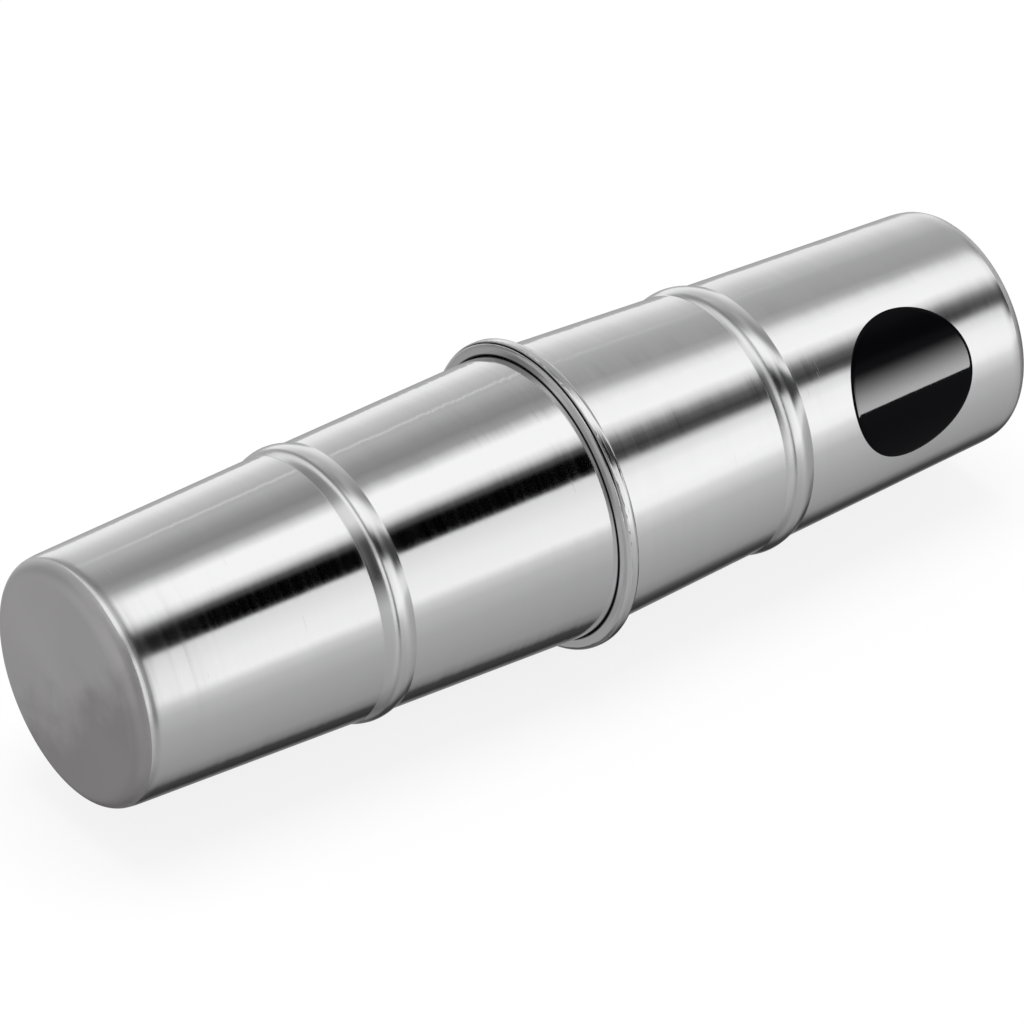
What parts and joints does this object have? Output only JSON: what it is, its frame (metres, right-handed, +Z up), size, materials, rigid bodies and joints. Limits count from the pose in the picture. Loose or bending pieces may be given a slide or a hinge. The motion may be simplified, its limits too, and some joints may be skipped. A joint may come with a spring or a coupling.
{
  "type": "ganza shaker",
  "caption": "Tubular metal shaker of two tapered aluminium cups, beaded and crimped mouth to mouth, with loose steel shot sealed inside.",
  "frame": {"origin": "under the middle of the shaker, halfway between the end discs, at the lowest point of the crimped rim", "axes": "+X along the shaker's axis from the near cup to the far cup that carries the badge, +Z up, -Y towards the side that shows the badge"},
  "size_m": [0.25, 0.0738, 0.0739],
  "materials": {
    "polished_aluminium": "polished walls with fine turning lines, dull spun end discs",
    "black_vinyl": "glossy black vinyl sticker",
    "steel_shot": "bare steel balls, lightly worn"
  },
  "bodies": {
    "shell": {"near_cup": "polished_aluminium", "far_cup": "polished_aluminium", "badge": "black_vinyl"},
    "shot_heap": {"shot_heap_lower": "steel_shot", "shot_heap_upper": "steel_shot"},
    "shot_loose": {"shot_loose": "steel_shot"},
    "shot_near_1": {"shot_near_1": "steel_shot"},
    "shot_near_2": {"shot_near_2": "steel_shot"},
    "shot_near_3": {"shot_near_3": "steel_shot"},
    "shot_near_4": {"shot_near_4": "steel_shot"},
    "shot_near_5": {"shot_near_5": "steel_shot"},
    "shot_near_6": {"shot_near_6": "steel_shot"},
    "shot_near_7": {"shot_near_7": "steel_shot"},
    "shot_far_1": {"shot_far_1": "steel_shot"},
    "shot_far_2": {"shot_far_2": "steel_shot"},
    "shot_far_3": {"shot_far_3": "steel_shot"},
    "shot_far_4": {"shot_far_4": "steel_shot"},
    "shot_far_5": {"shot_far_5": "steel_shot"},
    "shot_far_6": {"shot_far_6": "steel_shot"},
    "shot_far_7": {"shot_far_7": "steel_shot"}
  },
  "joints": [
    {"name": "heap_swirl", "type": "hinge", "parent": "shell", "child": "shot_heap", "pos_m": [0, 0, 0.03695], "axis": [1, 0, 0], "continuous": true},
    {"name": "loose_travel", "type": "slide", "parent": "shot_heap", "child": "shot_loose", "axis": [1, 0, 0], "range_m": [-0.104, 0.104]},
    {"name": "near_swirl_1", "type": "hinge", "parent": "shell", "child": "shot_near_1", "pos_m": [0, 0, 0.03695], "axis": [1, 0, 0], "continuous": true},
    {"name": "near_swirl_2", "type": "hinge", "parent": "shell", "child": "shot_near_2", "pos_m": [0, 0, 0.03695], "axis": [1, 0, 0], "continuous": true},
    {"name": "near_swirl_3", "type": "hinge", "parent": "shell", "child": "shot_near_3", "pos_m": [0, 0, 0.03695], "axis": [1, 0, 0], "continuous": true},
    {"name": "near_swirl_4", "type": "hinge", "parent": "shell", "child": "shot_near_4", "pos_m": [0, 0, 0.03695], "axis": [1, 0, 0], "continuous": true},
    {"name": "near_swirl_5", "type": "hinge", "parent": "shell", "child": "shot_near_5", "pos_m": [0, 0, 0.03695], "axis": [1, 0, 0], "continuous": true},
    {"name": "near_swirl_6", "type": "hinge", "parent": "shell", "child": "shot_near_6", "pos_m": [0, 0, 0.03695], "axis": [1, 0, 0], "continuous": true},
    {"name": "near_swirl_7", "type": "hinge", "parent": "shell", "child": "shot_near_7", "pos_m": [0, 0, 0.03695], "axis": [1, 0, 0], "continuous": true},
    {"name": "far_swirl_1", "type": "hinge", "parent": "shell", "child": "shot_far_1", "pos_m": [0, 0, 0.03695], "axis": [1, 0, 0], "continuous": true},
    {"name": "far_swirl_2", "type": "hinge", "parent": "shell", "child": "shot_far_2", "pos_m": [0, 0, 0.03695], "axis": [1, 0, 0], "continuous": true},
    {"name": "far_swirl_3", "type": "hinge", "parent": "shell", "child": "shot_far_3", "pos_m": [0, 0, 0.03695], "axis": [1, 0, 0], "continuous": true},
    {"name": "far_swirl_4", "type": "hinge", "parent": "shell", "child": "shot_far_4", "pos_m": [0, 0, 0.03695], "axis": [1, 0, 0], "continuous": true},
    {"name": "far_swirl_5", "type": "hinge", "parent": "shell", "child": "shot_far_5", "pos_m": [0, 0, 0.03695], "axis": [1, 0, 0], "continuous": true},
    {"name": "far_swirl_6", "type": "hinge", "parent": "shell", "child": "shot_far_6", "pos_m": [0, 0, 0.03695], "axis": [1, 0, 0], "continuous": true},
    {"name": "far_swirl_7", "type": "hinge", "parent": "shell", "child": "shot_far_7", "pos_m": [0, 0, 0.03695], "axis": [1, 0, 0], "continuous": true}
  ]
}
